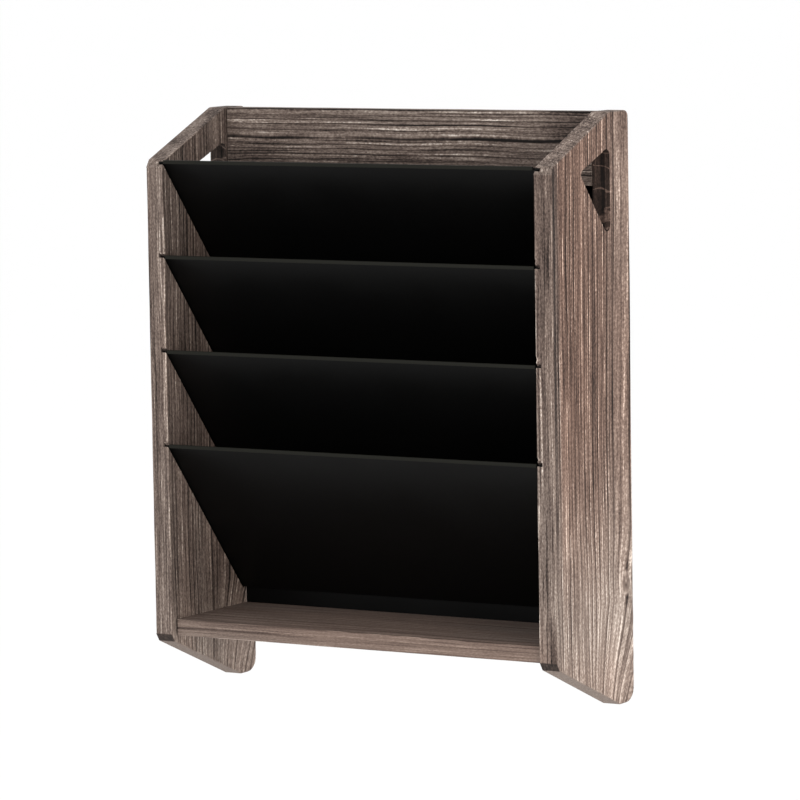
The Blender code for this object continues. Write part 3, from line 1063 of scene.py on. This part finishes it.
@dataclass
class SideBoard(Timber):
    """A side board: sloped ends, triangular handle hole, four slanted grooves and the hanger plate's seat."""

    side: Side = Side.RIGHT
    layout: Layout = field(default_factory=Layout)

    def torn(self, points: Array) -> Array:
        """Chips torn out just above each groove's mouth, on the front edge beside the inner face."""
        u, v, w = points.T
        total = np.zeros(len(points))
        for index in range(1, self.layout.count):
            mouth = self.layout.wall(index) + self.layout.groove_width / math.cos(self.layout.groove_angle)
            size = 1.0 + 0.35 * noise(u / 0.002, v / 0.002, w / 0.002, self.growth.seed + 30 + index)
            above = (w - mouth - 1.0 * MM) / (1.5 * MM)
            chip = np.sqrt((u / (4.2 * MM)) ** 2 + (v / (1.8 * MM)) ** 2 + above**2)
            total = np.maximum(total, 1 - smooth(0.55, 1.0, chip * size))
        return total

    def tools(self) -> list[tuple[Array, list[Array]]]:
        """The handle hole, the grooves, the plate's seat and the pocket behind it."""
        plan = self.layout
        sign = self.side.value
        top, foot, tip = (plan.top - drop for drop in plan.handle_drops)
        corners = [
            (-plan.handle_back, top, plan.handle_radius),
            (-plan.handle_back, foot, plan.handle_radius),
            (-plan.handle_tip, tip, plan.handle_tip_radius),
        ]
        hole = refine(arc_corners(corners), 1.2 * MM)
        low, high = plan.inner, plan.width / 2
        between = np.linspace(low + 1.7 * MM, high - 1.7 * MM, 10)
        stations = np.array([low - 3 * MM, low + 0.8 * MM, *between, high - 0.8 * MM, high + 3 * MM])
        vertices, faces = swept(hole, stations)
        rough = noise(vertices[:, 0] / 0.004, vertices[:, 1] / 0.003, vertices[:, 2] / 0.003, 77)
        centre = hole.mean(axis=0)
        outward = vertices[:, 1:] - centre
        outward /= np.linalg.norm(outward, axis=1, keepdims=True)
        vertices[:, 1:] += outward * (0.28 * MM * rough)[:, None]
        parts = [(vertices, faces)]
        reach = 10 * MM
        for index in range(plan.count):
            outline = np.array(
                [
                    plan.in_groove(index, -reach, 0),
                    plan.in_groove(index, plan.run, 0),
                    plan.in_groove(index, plan.run, plan.groove_width),
                    plan.in_groove(index, -reach, plan.groove_width),
                ]
            )
            across = np.linspace(low - 3 * MM, low + plan.groove_depth, 5)
            parts.append(swept(refine(outline, 3 * MM), across))
        middle = plan.width / 2 - plan.board / 2
        parts.append(
            box_faces((middle - 5.3 * MM, -1.7 * MM, -26.3 * MM), (middle + 5.3 * MM, 2 * MM, 14.3 * MM))
        )
        pocket = box_faces((middle - 4 * MM, -7 * MM, -15.5 * MM), (middle + 4 * MM, 2 * MM, 4.5 * MM))
        tools = [joined(parts), pocket]
        return [(vertices * np.array([sign, 1, 1]), faces) for vertices, faces in tools]

    def with_ends(self, base: Array, slope: Array, points: Array, normal: Array) -> Array:
        """Tone with the sloped ends and the clipped corners laid over it; the lower clipped corner, which
        faces down, carries painted shade and is the darkest, and the upper one is painted paler as if lit
        from above.
        """
        tilt = np.abs(normal[:, 2])
        nose = smooth(0.35, 0.45, tilt) * (1 - smooth(3.4 * MM, 4.4 * MM, points[:, 1]))
        # Painted light and shade on the clipped corners: dark on the lower one, which faces down, pale on the
        # upper one, which faces up.
        corner_light_and_shade = 0.46 - 0.32 * smooth(-0.1, -0.2, points[:, 2])
        tone = base + smooth(0.30, 0.45, tilt) * (slope - base)
        return tone + nose * (corner_light_and_shade - tone)

    def line_force(self, points: Array, normal: Array) -> Array:
        """Rings are weak on the front edge too, where they lie flat."""
        return super().line_force(points, normal) * (1 - 0.75 * (1 - smooth(0.0005, 0.0030, points[:, 1])))


@dataclass
class RightBoard(SideBoard):
    """The right board: its outer face has a scorched front strip and a pale rear and foot."""

    def tone(self, points: Array, normal: Array) -> Array:
        """Darker along the front, redder in the middle, paler to the rear, and paler at the foot, partly the
        wood's own colour and partly painted light on the lower part.
        """
        u, v, w = points.T
        outer = smooth(0.7 * self.thickness, self.thickness, u)
        face = 0.39 + 0.06 * smooth(0.012, 0.05, v) + 0.09 * smooth(0.065, 0.095, v)
        foot = smooth(-0.30, -0.35, w)
        patch = bell(v, 0.018, 0.010) * smooth(-0.12, -0.17, w) * (1 - smooth(-0.25, -0.30, w))
        # The paler lower face is partly the wood's own colour and partly painted light falling on the lower
        # part.
        face = face + 0.22 * smooth(-0.15, -0.34, w) + 0.14 * patch - 0.10 * bell(v, 0.002, 0.003)
        edge = 0.35 + 0.09 * smooth(-0.02, -0.20, w) + 0.05 * noise(u / 0.006, 0.0, w / 0.09, 51)
        front = 1 - smooth(0.0006, 0.0030, v)
        base = outer * face + (1 - outer) * 0.36
        base = front * edge + (1 - front) * base
        # The lower sloped end is painted paler: painted light on a face that turns down and gets little lamp
        # light.
        slope = 0.45 + 0.12 * noise(v / 0.006, u / 0.006, 0.0, 54) * smooth(-0.3, -0.2, w) + 0.10 * foot
        return self.with_ends(base, slope, points, normal)

    def warmth(self, points: Array) -> Array:
        """Redder over the middle of the outer face."""
        _, v, w = points.T
        middle = smooth(0.004, 0.014, v) * (1 - 0.4 * smooth(0.070, 0.095, v)) * smooth(-0.36, -0.14, w)
        return super().warmth(points) + 0.75 * middle + 0.30 * smooth(-0.30, -0.36, w)


@dataclass
class LeftBoard(SideBoard):
    """The left board, whose inner face and front edge are the ones most seen."""

    def tone(self, points: Array, normal: Array) -> Array:
        """A grey-brown front edge and a darker inner face that is paler at the foot."""
        u, v, w = points.T
        front = 1 - smooth(0.0006, 0.0030, v)
        edge = 0.40 + 0.03 * smooth(-0.05, -0.25, w) + 0.05 * noise(u / 0.006, 0.0, w / 0.09, 52)
        face = 0.41 + 0.20 * smooth(-0.29, -0.34, w) + 0.04 * noise(u / 0.02, v / 0.03, w / 0.12, 53)
        base = front * edge + (1 - front) * face
        upper = 0.40 + 0.16 * noise(v / 0.011, u / 0.008, 0.0, 55)
        # The lower sloped end is painted paler: painted light on a face that turns down and gets little lamp
        # light.
        slope = upper + (0.50 - upper) * smooth(-0.1, -0.3, w)
        return self.with_ends(base, slope, points, normal)


@dataclass
class Rail(Timber):
    """The rail between the boards at the top, darker towards its lower edge and its left end."""

    def tone(self, points: Array, normal: Array) -> Array:
        """Paler along the top and to the right, with a painted shadow in the upper right corner."""
        _, v, w = points.T
        # Painted shadow: a darker patch in the rail's upper right corner.
        shadow = smooth(0.105, 0.135, w) * (1 - smooth(0.018, 0.034, v))
        return 0.47 - 0.15 * smooth(0.010, 0.050, v) + 0.04 * smooth(-0.15, 0.10, w) - 0.20 * shadow


@dataclass
class Shelf(Timber):
    """The shelf at the foot."""

    def tone(self, points: Array, normal: Array) -> Array:
        """Even, with a crack along the front edge's left part and painted shadow lines in the gaps at the
        joints.
        """
        u, v, w = points.T
        front = 1 - smooth(0.0005, 0.0020, v)
        wave = 0.0062 + 0.0008 * noise(w / 0.04, 0.0, 0.0, 95)
        crack = bell(u, wave, 0.0007) * (1 - smooth(-0.09, -0.03, w))
        # Painted shadow: the front edge is darkened at both ends, where the gap beside each board falls in
        # shade.
        joint_shadow = smooth(0.1515, 0.1530, np.abs(w))
        return 0.47 - front * (0.30 * crack + 0.35 * joint_shadow)


# ---------------------------------------------------------------- sheet metal


@dataclass
class Divider:
    """A slanted sheet with its front edge folded down; the fold stops short of the boards."""

    index: int
    finish: bpy.types.Material
    layout: Layout
    sheet: float = 0.8 * MM
    lip_setback: float = 0.2 * MM
    lip_radius: float = 0.9 * MM
    lip_drop: float = 1.25 * MM
    lip_side_air: float = 0.6 * MM
    tab_setback: float = 2.4 * MM

    def outline(self) -> Array:
        """(y, z) profile: straight sheet, tight fold, upright lip."""
        plan = self.layout
        rise = 1 / math.cos(plan.groove_angle)
        over = plan.groove_width - plan.gap
        under = over - self.sheet
        wall = plan.wall(self.index)

        def on_slope(y: float, offset: float) -> tuple[float, float]:
            """Point of a line parallel to the sheet, straight above y."""
            return (y, wall - (y - plan.front) * plan.groove_tan + offset * rise)

        lip_front = plan.front + self.lip_setback
        lip_back = lip_front + self.sheet
        foot = wall - self.lip_drop
        edge = 0.15 * MM
        return arc_corners(
            [
                (*plan.in_groove(self.index, plan.run - plan.gap, under), edge),
                (*plan.in_groove(self.index, plan.run - plan.gap, over), edge),
                (*on_slope(lip_front, over), self.lip_radius),
                (lip_front, foot, edge),
                (lip_back, foot, edge),
                (*on_slope(lip_back, under), self.lip_radius - self.sheet),
            ],
            steps=8,
        )

    def make(self) -> bpy.types.Object:
        """Builds and dresses the divider.

        Returns:
            The finished piece.
        """
        plan = self.layout
        half = plan.inner + plan.groove_depth - plan.gap
        name = f"folded_divider_{self.index + 1}"
        points, faces = swept(refine(self.outline(), 1.5 * MM), np.linspace(-half, half, 80))
        piece = link_mesh(name, points, faces)
        wall = plan.wall(self.index)
        ends = []
        for sign in (-1, 1):
            near, far = sorted((sign * (plan.inner - self.lip_side_air), sign * (half + 2 * MM)))
            low = (near, plan.front - 2 * MM, wall - 4 * MM)
            ends.append(box_faces(low, (far, plan.front + self.tab_setback, wall + 5 * MM)))
        carve(piece, [joined(ends)])
        fix_shading(piece, 40)
        y = read_points(piece)[:, 1]
        # The fold attribute marks the lip strip that gets the painted highlight.
        write_attribute(piece, "fold", 1 - smooth(0.6 * MM, 1.6 * MM, y - plan.front))
        piece.data.materials.clear()
        piece.data.materials.append(self.finish)
        body = f"divider_{self.index + 1}"
        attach(piece, body)
        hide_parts(body)
        LOG.info("%s: %d vertices", name, len(piece.data.vertices))
        return piece


# ---------------------------------------------------------------- hardware kept from the CAD part


@dataclass
class Hardware:
    """The CAD nodes that stay: back sheet, dowels, screws and keyhole plates, each with its real finish."""

    black: bpy.types.Material
    beech: bpy.types.Material
    zinc: bpy.types.Material
    oxide: bpy.types.Material

    def dress(self) -> None:
        """Gives every kept node its finish."""
        choice = {
            "back_panel": self.black,
            "rail_dowel": self.beech,
            "shelf_dowel": self.beech,
            "panel_screw": self.oxide,
            "hanger_plate": self.zinc,
            "hanger_screw": self.zinc,
        }
        for name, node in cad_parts.items():
            for word, material in choice.items():
                if name.startswith(word):
                    node.data.materials.clear()
                    node.data.materials.append(material)
                    LOG.info("%s: %s", name, material.name)


# ---------------------------------------------------------------- studio


@dataclass
class Studio:
    """Pale floor, soft lights and the camera."""

    azimuth: float = 30.71
    elevation: float = 6.05
    roll: float = -0.92
    distance: float = 3.488
    lens: float = 217.3
    aim: tuple[float, float, float] = (0.0069, -0.0530, -0.1587)

    def camera(self) -> None:
        """A long lens from the front right, a little above the middle."""
        a, e, r = (math.radians(x) for x in (self.azimuth, self.elevation, self.roll))
        back = Vector((math.sin(a) * math.cos(e), -math.cos(a) * math.cos(e), math.sin(e)))
        level = Vector((math.cos(a), math.sin(a), 0))
        up = back.cross(level)
        right = math.cos(r) * level + math.sin(r) * up
        top = back.cross(right)
        data = bpy.data.cameras.new("studio_camera")
        data.lens = self.lens
        data.sensor_width = 36.0
        data.clip_end = 200.0
        camera = bpy.data.objects.new("studio_camera", data)
        turn = Matrix((right, top, back)).transposed()
        camera.matrix_world = Matrix.Translation(Vector(self.aim) + back * self.distance) @ turn.to_4x4()
        bpy.context.scene.collection.objects.link(camera)
        bpy.context.scene.camera = camera

    def light(
        self, name: str, place: tuple[float, float, float], size: float, power: float, tint: str
    ) -> None:
        """A square soft light aimed at the rack.

        Args:
            name: the light's name.
            place: where it stands, in metres.
            size: side of the square.
            power: watts.
            tint: sRGB hex colour.
        """
        data = bpy.data.lights.new(name, "AREA")
        data.shape = "SQUARE"
        data.size = size
        data.energy = power
        data.color = linear(tint)[:3]
        lamp = bpy.data.objects.new(name, data)
        towards = Vector((0, -0.05, -0.16)) - Vector(place)
        lamp.rotation_euler = towards.to_track_quat("-Z", "Y").to_euler()
        lamp.location = place
        bpy.context.scene.collection.objects.link(lamp)

    def build(self) -> None:
        """Makes the floor, the lights, the sky and the camera."""
        world = bpy.data.worlds.new("studio")
        world.use_nodes = True
        world.node_tree.nodes["Background"].inputs["Color"].default_value = linear("#ffffff")
        world.node_tree.nodes["Background"].inputs["Strength"].default_value = 1.0
        bpy.context.scene.world = world
        half, level = 60.0, -1.1
        corners = ((-half, -half), (half, -half), (half, half), (-half, half))
        points = np.array([(x, y, level) for x, y in corners])
        floor = link_mesh("floor", points, [np.array([[0, 1, 2, 3]])])
        material, _, shader = blank_material("matt_white_floor")
        shader.inputs["Base Color"].default_value = linear("#ffffff")
        shader.inputs["Roughness"].default_value = 0.9
        floor.data.materials.append(material)
        self.light("key", (2.4, -1.6, 0.4), 1.4, 28.0, "#fff6ee")
        self.light("front", (-0.6, -3.0, 0.6), 1.8, 16.0, "#ffffff")
        self.camera()
        scene = bpy.context.scene
        scene.view_settings.view_transform = "Standard"
        scene.view_settings.look = "None"
        scene.view_settings.exposure = 0.0


# ---------------------------------------------------------------- assembly


def side_outline(plan: Layout) -> Array:
    """Side view of a board, (distance from the front edge, height): square back, sloped ends, cut corners."""
    slope, nose, sharp = plan.cut_angle, plan.nose_cut, plan.sharp_radius
    flat = plan.depth - plan.top_flat
    front_top = plan.top - flat * math.tan(slope)
    front_bottom = plan.top - plan.front_drop
    lowest = plan.top - plan.lowest_drop
    run = (front_bottom - lowest) / math.tan(slope)
    along, rise = nose * math.cos(slope), nose * math.sin(slope)
    return arc_corners(
        [
            (0, front_bottom + nose, sharp),
            (0, front_top - nose, sharp),
            (along, front_top + rise, sharp),
            (flat, plan.top, plan.top_radius),
            (plan.depth, plan.top, plan.top_radius),
            (plan.depth, lowest, plan.foot_radius),
            (run, lowest, plan.top_radius),
            (along, front_bottom - rise, sharp),
        ]
    )


def rectangle(width: float, low: float, high: float, radius: float) -> Array:
    """A plain board's outline with its corners rounded."""
    return arc_corners([(0, low, radius), (0, high, radius), (width, high, radius), (width, low, radius)])


def main() -> None:
    """Builds every sub-assembly in order."""
    logging.basicConfig(level=logging.INFO, format="%(message)s")
    plan = Layout()
    wood = TorchedWood().build()
    char = TorchedWood(name="charred_cut_softwood", char_tone=0.15).build()
    black = PowderCoat().build()
    outline = side_outline(plan)
    knot = Knot(
        v=103.5 * MM,
        w=-288 * MM,
        half_v=7 * MM,
        half_w=8 * MM,
        push=9 * MM,
        reach_v=20 * MM,
        reach_w=26 * MM,
    )
    RightBoard(
        name="torched_side_right",
        node="side_board_right",
        finish=wood,
        growth=Growth(
            -0.030,
            -0.085,
            5.2 * MM,
            11,
            knots=(knot,),
            widen_from=0.074,
            widen_by=2.5,
            lean_below=-0.298,
            lean=0.60,
        ),
        thickness=plan.board,
        outline=outline,
        origin=Vector((plan.inner, plan.front, 0)),
        directions=((1, 0, 0), (0, 1, 0), (0, 0, 1)),
        side=Side.RIGHT,
        layout=plan,
        charred=char,
    ).make()
    LeftBoard(
        name="torched_side_left",
        node="side_board_left",
        finish=wood,
        growth=Growth(
            -0.035, -0.070, 4.6 * MM, 41, widen_from=0.070, widen_by=1.6, lean_below=-0.300, lean=0.35
        ),
        pale_force=0.6,
        force=0.9,
        thickness=plan.board,
        outline=outline,
        origin=Vector((-plan.inner, plan.front, 0)),
        directions=((-1, 0, 0), (0, 1, 0), (0, 0, 1)),
        side=Side.LEFT,
        layout=plan,
        charred=char,
    ).make()
    span = plan.inner - plan.gap
    Rail(
        name="torched_rail",
        node="top_rail",
        finish=wood,
        growth=Growth(0.020, -0.060, 4.0 * MM, 71, wander=1.6 * MM),
        thickness=plan.board,
        outline=rectangle(plan.rail_height, -span, span, plan.sharp_radius),
        origin=Vector((0, -plan.rail_front, plan.top)),
        directions=((0, 1, 0), (0, 0, -1), (1, 0, 0)),
        arris=0.8 * MM,
        least_late=0.55,
        late_from=0.70,
        pale_force=0.45,
        redness=0.05,
    ).make()
    Shelf(
        name="torched_shelf",
        node="shelf_board",
        finish=wood,
        growth=Growth(0.050, -0.020, 5.4 * MM, 91, wander=2.5 * MM),
        thickness=plan.shelf_thick,
        outline=rectangle(plan.shelf_depth, -span, span, plan.sharp_radius),
        origin=Vector((0, plan.front + plan.shelf_setback, plan.top - plan.shelf_drop)),
        directions=((0, 0, -1), (0, 1, 0), (1, 0, 0)),
        arris=0.6 * MM,
        pale_force=0.3,
        dig=0.35,
        redness=0.25,
        force=0.45,
        across_step=0.8 * MM,
    ).make()
    for index in range(plan.count):
        Divider(index, black, plan).make()
    Hardware(
        black=black,
        beech=TurnedBeech().build(),
        zinc=PlainMetal("zinc_plated_steel", "#8d9092", "#b9bbbb", 0.28, 0.45).build(),
        oxide=PlainMetal("black_oxide_steel", "#17171a", "#2b2b2e", 0.30, 0.45).build(),
    ).dress()
    Studio().build()


if __name__ == "__main__":
    main()
